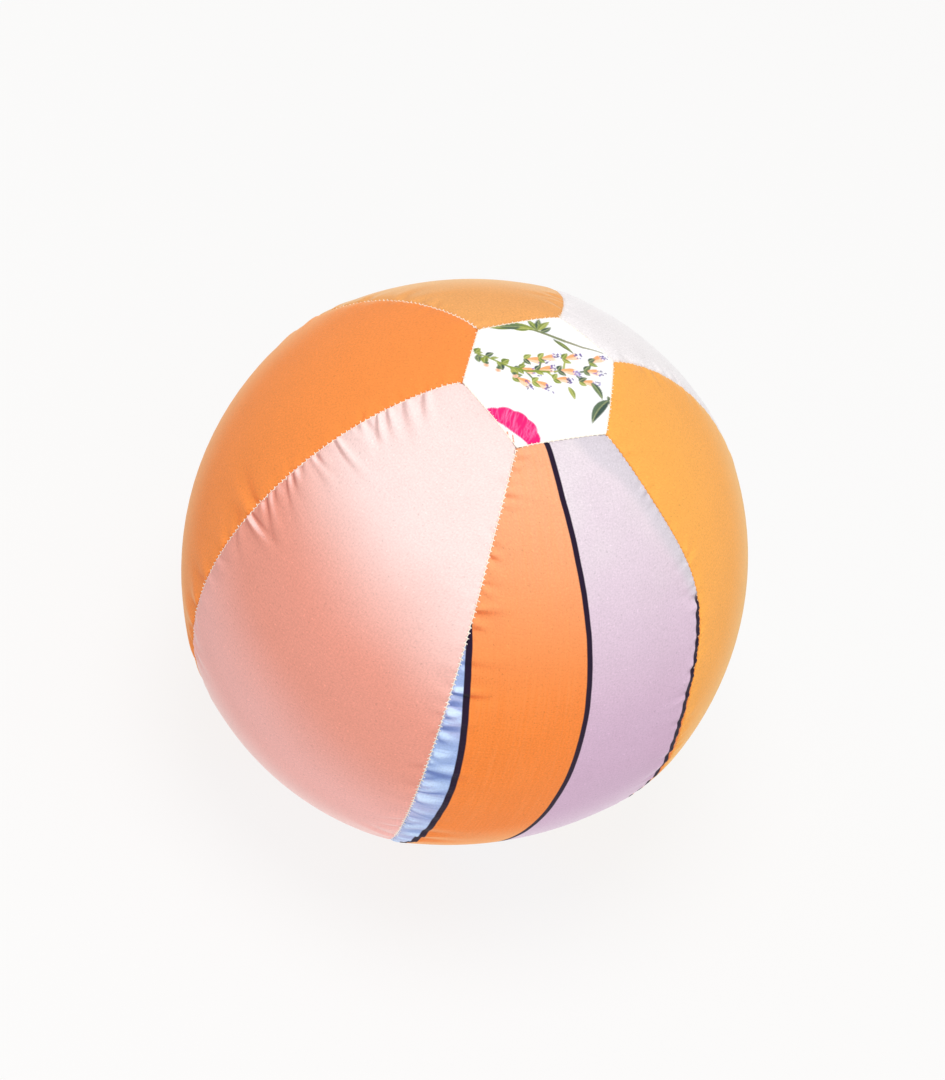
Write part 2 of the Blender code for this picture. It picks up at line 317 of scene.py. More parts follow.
# The lines between the printed bands as places (down from the top, across from the gore's middle),
# the box round them (down, down, across, across), and how wide each is
MIDDLE_LINE = (
    (0.0, -0.0075), (0.4, -0.012), (0.04, -0.0084), (0.07, -0.0068), (0.11, -0.0024),
    (0.14, 0.0), (0.165, 0.0006), (0.2, -0.0003), (0.24, -0.0029), (0.3, -0.007),
)
LEFT_LINE = (
    (0.0, -0.08), (0.4, -0.02), (0.115, -0.0540), (0.14, -0.0537), (0.2, -0.0510),
    (0.235, -0.0500), (0.285, -0.0444),
)
RIGHT_LINE = (
    (0.0, 0.0574), (0.4, 0.03), (0.125, 0.0574), (0.145, 0.0572), (0.17, 0.0547),
    (0.19, 0.0551), (0.22, 0.0568), (0.25, 0.0542), (0.29, 0.0465),
)
PALE_EDGE = (
    (0.0, 0.0), (0.4, 0.08), (0.04, 0.006), (0.06, 0.021), (0.09, 0.038), (0.115, 0.052), (0.14, 0.064),
)
LINE_LIMITS = (0.0, 0.4, -0.08, 0.08)
MIDDLE_WIDTH = 2.5 * MM
LEFT_WIDTH = 2.9 * MM
RIGHT_WIDTH = 2.8 * MM
LINE_BLUR = 0.25 * MM
BAND_BLUR = 0.2 * MM

# The studio: a glowing floor and its colours as linear light, two soft boxes (the key placed by the
# camera's right, up and back) and the camera, with its angles in degrees
FLOOR_GAP = 0.2 * MM
FLOOR_SIZE = 6.0
FLOOR_GLOW = 0.95
FLOOR_MATTE = 0.12
GLOW_COLOUR = (1.0, 0.995, 0.99, 1.0)
MATTE_COLOUR = (0.9, 0.895, 0.89, 1.0)
WORLD_STRENGTH = 0.75
KEY_PLACE = (0.15, 0.8, 1.0)
KEY_DISTANCE = 1.3
KEY_SIZE = 0.9
KEY_POWER = 15.0
FILL_PLACE = (0.5, -1.5, 0.3)
FILL_SIZE = 1.2
FILL_POWER = 9.0
AZIMUTH = -5.975
ELEVATION = 46.104
ROLL_ANGLE = 19.948
LENS = 119.66
CAMERA_DISTANCE = 12.514 * BALL_RADIUS
CAMERA_SHIFT = (-0.00333, -0.00970)


# ------------------------------------------------------------------ the shape of the cover


def seam_longitude(seam, colatitude):
    """The longitude of a seam at each colatitude."""
    shift, corner, bow, wave = SEAMS[seam % GORE_COUNT]
    degrees = np.degrees(colatitude)
    bottom = 180 - math.degrees(PANEL_CORNER)
    near = np.clip((degrees - corner) / CORNER_FADE, 0, 1)
    corner_part = shift * (1 - near) ** 2 * (1 + 2 * near)
    bow_part = bow * np.sin(np.clip((degrees - corner) / (bottom - corner), 0, 1) * math.pi)
    swing = np.cos(np.radians((degrees - WAVE_CREST) / WAVE_LENGTH * 360))
    wave_part = wave * swing * np.exp(-(((degrees - WAVE_MIDDLE) / WAVE_REACH) ** 2))
    stitches = np.sin(2 * math.pi * colatitude * BALL_RADIUS / STITCH)
    jog = ZIGZAG * stitches / (BALL_RADIUS * np.maximum(np.sin(colatitude), 0.2))
    return FIRST_SEAM + GORE_ANGLE * seam + np.radians(corner_part + bow_part + wave_part) + jog


def unit(longitude, colatitude):
    """Unit vectors, in an array whose last axis is x, y, z."""
    ring = np.sin(colatitude)
    return np.stack([ring * np.cos(longitude), ring * np.sin(longitude), np.cos(colatitude)], -1)


def panel_corner(seam, top):
    """The direction of an end panel's corner on a seam."""
    if not top:
        return unit(FIRST_SEAM + GORE_ANGLE * seam, math.pi - PANEL_CORNER)
    colatitude = math.radians(SEAMS[seam % GORE_COUNT][1])
    return unit(float(seam_longitude(seam, colatitude)), colatitude)


def panel_edge(gore, longitude, top):
    """The colatitude of a gore's end, which is a straight cut between two corners."""
    normal = np.cross(panel_corner(gore, top), panel_corner(gore + 1, top))
    lean = normal[0] * np.cos(longitude) + normal[1] * np.sin(longitude)
    return np.arctan2(normal[2], -lean)


def soft_min(first, second, width):
    """The lesser of two values, with the corner between them rounded over a width."""
    share = np.clip(0.5 + 0.5 * (second - first) / width, 0, 1)
    return second * (1 - share) + first * share - width * share * (1 - share)


def surface_radius(colatitude, hollow=0.0):
    """The smooth outer radius of the cover, pressed flat at its base and eased at its crown."""
    radius = BALL_RADIUS * (1 - hollow)
    cosine = np.cos(colatitude)
    crown = BASE_HEIGHT + CROWN_RISE * (1 - (radius * np.sin(colatitude) / CROWN_RING) ** 2)
    limit = np.where(cosine > 0, crown, BASE_HEIGHT)
    pressed = soft_min(np.abs(radius * cosine), limit, FLAT_BLEND)
    flat = np.abs(cosine) > FLAT_COSINE
    return np.where(flat, pressed / np.maximum(np.abs(cosine), FLAT_COSINE), radius)


def smooth(value, low, high):
    """0 at low, 1 at high and an even curve between."""
    share = np.clip((value - low) / (high - low), 0, 1)
    return share * share * (3 - 2 * share)


def seam_dip(distance, along):
    """How far the cloth lies below the surface near a seam: a soft pinch, and a nip at each stitch."""
    pinch = PINCH_DEPTH * np.exp(-((distance / PINCH_WIDTH) ** 2))
    nip = (0.5 + 0.5 * np.cos(2 * math.pi * along / STITCH)) ** 2
    return pinch + SCALLOP_DEPTH * nip * np.exp(-((distance / SCALLOP_WIDTH) ** 2))


def pucker_height(row, distance, along):
    """The height of one row of puckers: ridges square to the seam, each with a crease beside it."""
    gore, side, start, end, height, spacing, reach = row
    dice = np.random.RandomState(PUCKER_SEED + 100 * gore + 10 * side + start)
    lift = np.zeros_like(distance)
    place = math.radians(start) * BALL_RADIUS
    stop = math.radians(end) * BALL_RADIUS
    while place < stop:
        size = height * MM * dice.uniform(*PUCKER_HEIGHTS)
        width = spacing * MM * dice.uniform(*PUCKER_WIDTHS)
        length = reach * MM * dice.uniform(*PUCKER_LENGTHS)
        slant = dice.uniform(*PUCKER_SLANTS)
        crease_side = dice.choice((-1, 1))
        across = (along - place - slant * distance) / (width * (1 + 0.8 * distance / length))
        crease = np.exp(-(((across - 1.4 * crease_side) / 0.75) ** 2))
        profile = np.exp(-(across**2)) - 0.5 * crease - 0.2 * np.exp(-((across / 2.6) ** 2))
        lift += size * profile * smooth(distance, -0.3 * MM, 1.6 * MM) * np.exp(-((distance / length) ** 2))
        place += spacing * MM * dice.uniform(*PUCKER_STEPS)
    return lift


# ------------------------------------------------------------------ sheets and pieces


def growing_steps(last, step, growth):
    """Distances from a rolled edge up to last, each step a factor longer than the one before."""
    stops = [GRID_START]
    while stops[-1] + step < last:
        stops.append(stops[-1] + step)
        step *= growth
    return stops


def edge_lines(allowance, stops):
    """A sewn edge's grid lines as (distance from it, drop): its allowance, its roll and plain stops."""
    lines = [(SEAM_GAP / 2, ROLL + allowance)]
    for angle in ROLL_ANGLES:
        lines.append((SEAM_GAP / 2 + ROLL * (1 - math.cos(angle)), ROLL * (1 - math.sin(angle))))
    return np.array(lines + [(stop, 0.0) for stop in stops]).T


def sheet_lines(stops, middle_count, allowance):
    """The lines of a sheet's grid from one sewn edge to the other.

    Returns the share of the way across, the distance from the nearer edge (negative at the far one)
    and the drop below the surface."""
    near, drop = edge_lines(allowance, stops)
    inner = np.linspace(0, 1, middle_count + 2)[1:-1]
    share = np.concatenate([np.zeros(len(near)), inner, np.ones(len(near))])
    distance = np.concatenate([near, near[-1] * (1 - 2 * inner), -near[::-1]])
    return share, distance, np.concatenate([drop, np.zeros(middle_count), drop[::-1]])


def grid_mesh(name, places, texture_places):
    """A mesh of quads through a grid of places, with texture coordinates in metres."""
    rows, columns = places.shape[:2]
    index = np.arange(rows * columns).reshape(rows, columns)
    quads = np.stack([index[:-1, :-1], index[1:, :-1], index[1:, 1:], index[:-1, 1:]], -1).reshape(-1, 4)
    data = bpy.data.meshes.new(name)
    data.from_pydata(places.reshape(-1, 3).tolist(), [], quads.tolist())
    layer = data.uv_layers.new(name="UVMap")
    layer.data.foreach_set("uv", texture_places.reshape(-1, 2)[quads.ravel()].astype(np.float32).ravel())
    return data


def close_sheet(data, outside=1):
    """Joins a sheet's folded corners and turns its faces outwards, or inwards when outside is -1."""
    mesh = bmesh.new()
    mesh.from_mesh(data)
    bmesh.ops.remove_doubles(mesh, verts=mesh.verts, dist=0.002 * MM)
    bmesh.ops.dissolve_degenerate(mesh, dist=0.001 * MM, edges=mesh.edges)
    outwards = sum(face.normal.dot(face.calc_center_median()) for face in mesh.faces)
    if outwards * outside < 0:
        bmesh.ops.reverse_faces(mesh, faces=mesh.faces)
    mesh.to_mesh(data)
    mesh.free()
    data.shade_smooth()


def slot_of(node):
    """The record's material slot of a node."""
    return next(part["material_slot"] for part in frame["record"]["subparts"] if part["node"] == node)


def add_piece(name, data, body, nodes, slot):
    """Adds a piece that rides on a body, stands for CAD nodes and has the material of a slot."""
    piece = bpy.data.objects.new(name, data)
    bpy.context.scene.collection.objects.link(piece)
    data.materials.append(materials[slot])
    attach(piece, body)
    if nodes:
        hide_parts(*nodes)
    return piece


def add_sheet(name, data, body, nodes, slot, thickness=CLOTH):
    """Adds a piece whose sheet has a thickness, inwards from its outer face."""
    solidify = add_piece(name, data, body, nodes, slot).modifiers.new("cloth", "SOLIDIFY")
    solidify.thickness = thickness
    solidify.offset = -1


def add_cord(name, runs, thickness, body, nodes, slot="sewing_thread", roundness=1, closed=False, swell=1):
    """Adds runs of thread or cord, each a line of points, as one piece.

    swell scales the thickness, all along or point by point."""
    curve = bpy.data.curves.new(name, "CURVE")
    curve.dimensions = "3D"
    curve.bevel_depth = thickness
    curve.bevel_resolution = roundness
    curve.use_fill_caps = True
    for run in runs:
        line = curve.splines.new("POLY")
        line.points.add(len(run) - 1)
        line.points.foreach_set("co", np.column_stack([run, np.ones(len(run))]).ravel())
        line.points.foreach_set("radius", swell * np.ones(len(run)))
        line.use_cyclic_u = closed
        line.use_smooth = True
    add_piece(name, curve, body, nodes, slot)


def make_gore(gore):
    """One gore of the cover. Each pass settles its grid between seams and ends that bend."""
    across = sheet_lines(growing_steps(SIDE_ZONE, GRID_STEP, SIDE_GROWTH), GORE_MIDDLE_COLUMNS, ALLOWANCE)
    along = sheet_lines(growing_steps(END_ZONE, GRID_STEP, END_GROWTH), GORE_ROWS, END_ALLOWANCE)
    shape = (len(along[0]), len(across[0]))
    middle = FIRST_SEAM + GORE_ANGLE * (gore + 0.5)
    longitude = np.full(shape, middle)
    for _ in range(EDGE_PASSES):
        top = panel_edge(gore, longitude, True)
        bottom = panel_edge(gore, longitude, False)
        colatitude = top + (bottom - top) * along[0][:, None] + along[1][:, None] / BALL_RADIUS
        ring = BALL_RADIUS * np.sin(colatitude)
        first = seam_longitude(gore, colatitude)
        last = seam_longitude(gore + 1, colatitude)
        longitude = first + (last - first) * across[0] + across[1] / ring
    share = (longitude - first) / (last - first)
    length = colatitude * BALL_RADIUS
    radius = surface_radius(colatitude, HOLLOWS[gore] * 4 * share * (1 - share) * np.sin(colatitude) ** 2)
    to_seams = ((longitude - first) * ring, (last - longitude) * ring)
    to_ends = ((colatitude - top) * BALL_RADIUS, (bottom - colatitude) * BALL_RADIUS)
    for distance in to_seams:
        radius -= seam_dip(distance, length)
    for distance in to_ends:
        radius -= seam_dip(distance, longitude * ring)
    lift = np.zeros(shape)
    for row in PUCKERS:
        if row[0] == gore:
            lift += pucker_height(row, to_seams[row[1]], length)
    lift *= smooth(np.minimum(*to_ends), 0, PUCKER_FADE)
    radius += lift
    radius -= np.maximum(across[2][None, :], along[2][:, None])
    name = GORES[gore]
    texture_places = np.stack([(longitude - middle) * ring, length], -1)
    data = grid_mesh(name, unit(longitude, colatitude) * radius[..., None], texture_places)
    # The fold attribute carries painted light and shade: above 0 on pucker crests and on slopes facing the
    # top of the ball, below 0 in creases
    slope = np.gradient(lift, axis=0) / np.maximum(np.gradient(length, axis=0), 0.1 * MM)
    fold_light_and_shade = data.attributes.new("fold_light_and_shade", "FLOAT", "POINT")
    fold_light_and_shade.data.foreach_set("value", np.clip(slope + lift / FULL_FOLD, -1, 1).astype(np.float32).ravel())
    close_sheet(data)
    add_sheet(name + "_cloth", data, "cover", [name], slot_of(name))


# ------------------------------------------------------------------ the top panel and the flaps


def offset_corners(corners, distance):
    """The corners of a convex outline, anticlockwise, moved inwards by a distance from every side."""
    moved = []
    count = len(corners)
    for index in range(count):
        before, here, after = corners[index - 1], corners[index], corners[(index + 1) % count]
        first = (here - before) / np.linalg.norm(here - before)
        second = (after - here) / np.linalg.norm(after - here)
        inward = np.array([-first[1] - second[1], first[0] + second[0]])
        moved.append(here + inward * distance / (1 + first @ second))
    return np.array(moved)


def outline_grid(corners, edge_distances, inner_rings, side_points):
    """Places of a closed panel's grid, from its middle out to its edge: rings by points round."""
    share = np.arange(side_points) / side_points
    rings = []
    for distance in edge_distances:
        ring = offset_corners(corners, distance)
        sides = [ring[i] + (ring[(i + 1) % len(ring)] - ring[i]) * share[:, None] for i in range(len(ring))]
        rings.append(np.concatenate([*sides, ring[:1]]))
    inner = np.linspace(0.002, 1, inner_rings + 1)[:-1]
    middle = [rings[-1] * scale for scale in inner]
    return np.stack(middle + rings[::-1])


def side_distances(places, corners):
    """The distance from the nearest side of an outline, and how far along that side, at each place."""
    nearest = np.full(places.shape[:-1], np.inf)
    along = np.zeros(places.shape[:-1])
    for index, corner in enumerate(corners):
        side = corners[(index + 1) % len(corners)] - corner
        length = np.linalg.norm(side)
        away = ((places[..., 1] - corner[1]) * side[0] - (places[..., 0] - corner[0]) * side[1]) / length
        along = np.where(away < nearest, (places - corner) @ side / length, along)
        nearest = np.minimum(away, nearest)
    return nearest, along


def top_corners():
    """The top panel's corners, laid on the flat of the CAD's end."""
    corners = np.array([panel_corner(seam, True) for seam in range(GORE_COUNT)])
    return corners[:, :2] / corners[:, 2:] * BASE_HEIGHT


def top_angles(places):
    """The longitude and colatitude of places laid on the flat of the CAD's end."""
    x, y = places[..., 0], places[..., 1]
    return np.arctan2(y, x), np.arctan2(np.hypot(x, y), BASE_HEIGHT)


def make_top_panel():
    """The printed hexagon at the top."""
    corners = top_corners()
    distances, drops = edge_lines(ALLOWANCE, growing_steps(END_ZONE, PRINT_GRID, 1.0))
    places = outline_grid(corners, distances, TOP_RINGS, TOP_SIDE_POINTS)
    longitude, colatitude = top_angles(places)
    nearest, along = side_distances(places, corners)
    radius = surface_radius(colatitude) - seam_dip(nearest, along)
    radius += pucker_height(TOP_PUCKERS, np.maximum(nearest, 0), along)
    radius[-len(drops):] -= drops[::-1, None]
    data = grid_mesh("top_panel", unit(longitude, colatitude) * radius[..., None], places)
    print_cloth(data, places, TOP_SPRAYS)
    close_sheet(data)
    add_sheet("top_panel_cloth", data, "cover", ["top_panel"], slot_of("top_panel"))


def flap_height(x, hinge, step):
    """The height of a flap's outer face at a distance x from the middle towards its hinge."""
    away = np.minimum(1, (abs(hinge.x) - x) / (abs(hinge.x) - FLAP_STEP_REACH))
    return hinge.z + step * np.sin(away * math.pi / 2)


def flap_half_width(x, hinge, inset):
    """Half a flap's width at a distance x from the middle, inside a hexagon less an inset."""
    return (abs(hinge.x) - np.abs(x) / 2 - inset) / HEXAGON


def make_flap(name, hinge, side, reach, step):
    """A tongue of cloth sewn along its hinge, with hems on its free sides.

    side is 1 when its hinge is at +X. It runs a reach past the middle of the opening, and its free
    part lies a step further inside the ball."""
    lengths = np.linspace(abs(hinge.x) - FLAP_GAP, -reach, FLAP_ROWS)[:, None]
    half_width = flap_half_width(lengths, hinge, FLAP_GAP)
    y = half_width * np.linspace(-1, 1, FLAP_COLUMNS)
    x = np.broadcast_to(lengths, y.shape)
    from_hinge = abs(hinge.x) - x
    free = np.minimum((half_width - np.abs(y)) * HEXAGON, x + reach)
    hem = HEM_RISE * smooth(free, HEM_WIDTH + HEM_SLOPE, HEM_WIDTH - HEM_SLOPE)
    nip = HEM_NIP * np.exp(-(((free - HEM_WIDTH + HEM_STITCH_INSET) / HEM_NIP_WIDTH) ** 2))
    drape = FLAP_WAVE * np.sin(y / (9 * MM) + x / (21 * MM)) * smooth(from_hinge, 2 * MM, 14 * MM)
    edge_wave = HEM_WAVE * np.sin((x + 1.7 * y) / (3.1 * MM)) * np.exp(-((free / (4 * MM)) ** 2))
    edge_wave *= smooth(from_hinge, 2 * MM, 10 * MM)
    height = flap_height(x, hinge, step) + nip + drape + edge_wave - hem
    texture_places = np.stack([x * side, y], -1)
    data = grid_mesh(name, np.stack([x * side, y * side, height], -1), texture_places)
    print_cloth(data, texture_places, FLAP_SPRAYS)
    close_sheet(data)
    add_sheet(name + "_cloth", data, name, [name], slot_of(name))


def make_hem_fold(name, hinge, side, reach, step):
    """The hem turned over on the inner face of a flap's free sides."""
    start = abs(hinge.x) - 2 * MM
    stops = [(x, 1) for x in np.linspace(start, -reach, HEM_POINTS)]
    stops += [(-reach, share) for share in np.linspace(1, -1, HEM_POINTS)[1:-1]]
    stops += [(x, -1) for x in np.linspace(-reach, start, HEM_POINTS)]
    stop, share = np.array(stops).T
    bands = np.linspace(FLAP_GAP + 0.3 * MM, HEM_WIDTH + FLAP_GAP, HEM_BANDS)[:, None]
    x = np.maximum(stop, bands - FLAP_GAP - reach)
    y = flap_half_width(x, hinge, bands) * share
    rounded = HEM_FOLD_ROUND * smooth(bands, bands[-1], bands[-1] - HEM_FOLD_EDGE)
    lift = CLOTH + HEM_RISE + HEM_FOLD_LIFT + rounded
    places = np.stack([x * side, y, flap_height(x, hinge, step) + lift], -1)
    data = grid_mesh(name, places, places[..., :2])
    print_cloth(data, places, FLAP_SPRAYS)
    close_sheet(data, -1)
    add_sheet(name + "_hem", data, name, [], slot_of(name))


# ------------------------------------------------------------------ the threads


def valley_depth(distance):
    """How far the two rolled edges of a seam lie below the surface, by distance from the seam."""
    inside = np.clip(1 - (np.abs(distance) - SEAM_GAP / 2) / ROLL, 0, 0.75)
    return ROLL * (1 - np.sqrt(1 - inside**2))


def stitch_run(longitude, colatitude, across, along, reach, sink):
    """One stitch across a seam, with its ends let into the cloth."""
    dip = seam_dip(np.abs(across), along) + valley_depth(across)
    ends = THREAD_END_DROP * smooth(np.abs(across), 0.7 * reach, reach)
    radius = surface_radius(colatitude) - dip + THREAD_LIFT - ends - sink
    return unit(longitude, colatitude) * radius[:, None]


def valley_run(longitude, colatitude, along, sink):
    """The thread that runs down the valley between a seam's two edges."""
    radius = surface_radius(colatitude) - seam_dip(0.0, along) - LINE_DEPTH - sink
    return unit(longitude, colatitude) * radius[:, None]


def make_seam_thread(seam):
    """The stitches across one long seam, and the thread down its valley."""
    start = math.radians(SEAMS[seam][1]) + 0.5 * STITCH / BALL_RADIUS
    end = math.pi - PANEL_CORNER - 0.5 * STITCH / BALL_RADIUS
    first = math.ceil(start * BALL_RADIUS / STITCH)
    last = math.floor(end * BALL_RADIUS / STITCH)
    dice = np.random.RandomState(SEAM_SEED + seam)
    runs = []
    for stitch in range(first, last + 1):
        reach = STITCH_REACH * dice.uniform(0.75, 1.15)
        across = np.linspace(-reach, reach, STITCH_POINTS) + dice.uniform(-0.1, 0.1) * MM
        along = stitch * STITCH + across * dice.uniform(0.15, 0.45)
        colatitude = along / BALL_RADIUS
        longitude = seam_longitude(seam, colatitude) + across / (BALL_RADIUS * np.sin(colatitude))
        runs.append(stitch_run(longitude, colatitude, across, along, reach, THREAD_SINK[seam]))
    colatitude = np.linspace(start, end, VALLEY_POINTS)
    longitude = seam_longitude(seam, colatitude)
    runs.append(valley_run(longitude, colatitude, colatitude * BALL_RADIUS, THREAD_SINK[seam]))
    name = f"seam_thread_{seam + 1}"
    add_cord(name + "_stitches", runs, THREAD, "cover", [name])


def make_top_panel_thread():
    """The stitches round the top panel, and the thread down each side's valley."""
    corners = top_corners()
    dice = np.random.RandomState(TOP_SEED)
    runs = []
    for index, corner in enumerate(corners):
        side = corners[(index + 1) % GORE_COUNT] - corner
        length = np.linalg.norm(side)
        forward = side / length
        outward = np.array([forward[1], -forward[0]])
        for stitch in range(1, int(length / STITCH)):
            reach = STITCH_REACH * dice.uniform(0.7, 1.05)
            across = np.linspace(-reach, reach, STITCH_POINTS)
            along = stitch * STITCH + across * dice.uniform(0.1, 0.4)
            places = corner + along[:, None] * forward + across[:, None] * outward
            runs.append(stitch_run(*top_angles(places), across, along, reach, 0.0))
        share = np.linspace(0, 1, SIDE_VALLEY_POINTS)
        runs.append(valley_run(*top_angles(corner + side * share[:, None]), length * share, 0.0))
    add_cord("top_panel_stitches", runs, THREAD, "cover", ["top_panel_thread"])


def dashes(points, stitch, share):
    """Cuts an even line of points into stitches, each a share of the stitch length long."""
    lengths = np.concatenate([[0], np.cumsum(np.linalg.norm(np.diff(points, axis=0), axis=1))])
    runs = []
    for start in np.arange(0, lengths[-1] - stitch, stitch):
        stops = start + np.linspace(0, share, 6) * stitch
        runs.append(np.column_stack([np.interp(stops, lengths, points[:, axis]) for axis in range(3)]))
    return runs


def make_flap_seam_thread(name, hinge, side):
    """The stitches that sew a flap to its gore."""
    half_length = abs(hinge.x) * math.tan(math.pi / 6) - 2.5 * MM
    across = np.linspace(-1, 1, 6)
    x = (abs(hinge.x) + across * 0.9 * MM) * side
    height = hinge.z - 0.1 * MM + 0.35 * MM * across**2
    starts = np.arange(-half_length, half_length, STITCH)
    runs = [np.column_stack([x, y + across * 0.35 * MM, height]) for y in starts]
    add_cord(name + "_seam_stitches", runs, THREAD, "cover", [name + "_seam_thread"])


def make_hem_thread(name, hinge, side, reach, step):
    """The stitches along a flap's hem."""
    inset = HEM_WIDTH - HEM_STITCH_INSET
    x = np.linspace(abs(hinge.x) - 3 * MM, inset - reach, 80)
    y = flap_half_width(x, hinge, inset + FLAP_GAP)
    end_y = np.linspace(y[-1], -y[-1], HEM_POINTS)[1:-1]
    outline_x = np.concatenate([x, np.full(len(end_y), x[-1]), x[::-1]])
    outline_y = np.concatenate([y, end_y, -y[::-1]])
    height = flap_height(outline_x, hinge, step) - HEM_RISE - THREAD * 0.2
    runs = dashes(np.column_stack([outline_x * side, outline_y, height]), STITCH, DASH)
    add_cord(name + "_hem_stitches", runs, THREAD, name, [name + "_hem_thread"])


# ------------------------------------------------------------------ the balloon


def dimple_height(x):
    """The height of the balloon's underside at a distance x from its axis."""
    return DIMPLE_DEPTH * (1 + math.cos(math.pi * x / DIMPLE_RADIUS)) / 2 - BALLOON_BASE


NECK_TOP = dimple_height(NECK_RADIUS) - 1 * MM


def make_balloon():
    """The blown-up balloon, drawn in to a dimple round its tied neck."""
    profile = [(0.0, BALLOON_BASE)]
    start = math.acos(BALLOON_BASE / BALLOON_RADIUS)
    for angle in np.linspace(start, math.pi - start, BALLOON_ROWS):
        hollow = BALL_RADIUS * (1 - max(HOLLOWS) * math.sin(angle) ** 2) - BALLOON_CLEARANCE
        radius = min(BALLOON_RADIUS, hollow)
        profile.append((radius * math.sin(angle), radius * math.cos(angle)))
    for x in np.linspace(profile[-1][0], DIMPLE_RADIUS, BASE_ROWS)[1:-1]:
        profile.append((x, -BALLOON_BASE))
    dimple_start = len(profile)
    for x in np.linspace(DIMPLE_RADIUS, NECK_RADIUS + 1 * MM, DIMPLE_ROWS):
        profile.append((x, dimple_height(x)))
    for share in np.linspace(0, 1, NECK_ROWS):
        waist = NECK_RADIUS * (1 - 0.12 * math.sin(share * math.pi))
        profile.append((waist, NECK_TOP - NECK_LENGTH * share))
    neck_end = NECK_TOP - NECK_LENGTH
    profile += [(NECK_RADIUS * 1.35, neck_end - 0.7 * MM), (LIP_RADIUS, neck_end - 1.2 * MM)]
    profile = np.array(profile)
    angles = np.linspace(0, 2 * math.pi, BALLOON_COLUMNS)
    row = np.arange(len(profile))[:, None]
    gathered = smooth(row, dimple_start - 4, dimple_start + 20)
    gathered = gathered * smooth(row, dimple_start + 46, dimple_start + 24)
    wrinkles = WRINKLE * (np.cos(22 * angles) + 0.5 * np.cos(13 * angles + 1.0)) * gathered
    ring, height = profile[:, :1], profile[:, 1:] + wrinkles
    lengths = np.concatenate([[0], np.cumsum(np.hypot(*np.diff(profile.T)))])
    texture_places = np.stack(np.broadcast_arrays(angles * BALL_RADIUS, lengths[:, None]), -1)
    places = np.stack([ring * np.cos(angles), ring * np.sin(angles), height], -1)
    data = grid_mesh("balloon", places, texture_places)
    close_sheet(data)
    add_sheet("balloon_skin", data, "balloon", ["balloon"], "latex", LATEX)


def make_knot():
    """The balloon's knot: its neck wound round itself, and a rolled lip below."""
    coil = NECK_RADIUS + KNOT_CORD + 0.1 * MM
    turns = np.linspace(0, 2 * math.pi * KNOT_TURNS, COIL_POINTS)
    height = NECK_TOP - 2.2 * MM - 2.3 * KNOT_CORD * turns / (2 * math.pi) + 0.7 * MM * np.sin(turns)
    wound = np.column_stack([coil * np.cos(turns), coil * np.sin(turns), height])
    swell = 1 - 0.35 * np.cos(np.linspace(0, 2 * math.pi, len(wound))) ** 8
    look = {"slot": "latex", "roundness": CORD_ROUNDNESS}
    add_cord("balloon_knot_coil", [wound], KNOT_CORD, "balloon", ["balloon_knot"], swell=swell, **look)
    angles = np.linspace(0, 2 * math.pi, LIP_POINTS, endpoint=False)
    radius = LIP_RADIUS * (1 + 0.06 * np.sin(3 * angles))
    height = NECK_TOP - NECK_LENGTH - 1.3 * MM + 0.3 * MM * np.sin(2 * angles)
    lip = np.column_stack([radius * np.cos(angles), radius * np.sin(angles), height])
    add_cord("balloon_lip", [lip], LIP_CORD, "balloon", [], closed=True, **look)


# ------------------------------------------------------------------ the botanical print


def linear(red, green, blue):
    """A colour given as sRGB values of 0 to 255, as linear light."""
    share = np.array((red, green, blue)) / 255
    return np.where(share <= 0.04045, share / 12.92, ((share + 0.055) / 1.055) ** 2.4)


def turned(way, angle):
    """A direction in the plane turned anticlockwise."""
    cosine, sine = math.cos(angle), math.sin(angle)
    return np.array([way[0] * cosine - way[1] * sine, way[0] * sine + way[1] * cosine])


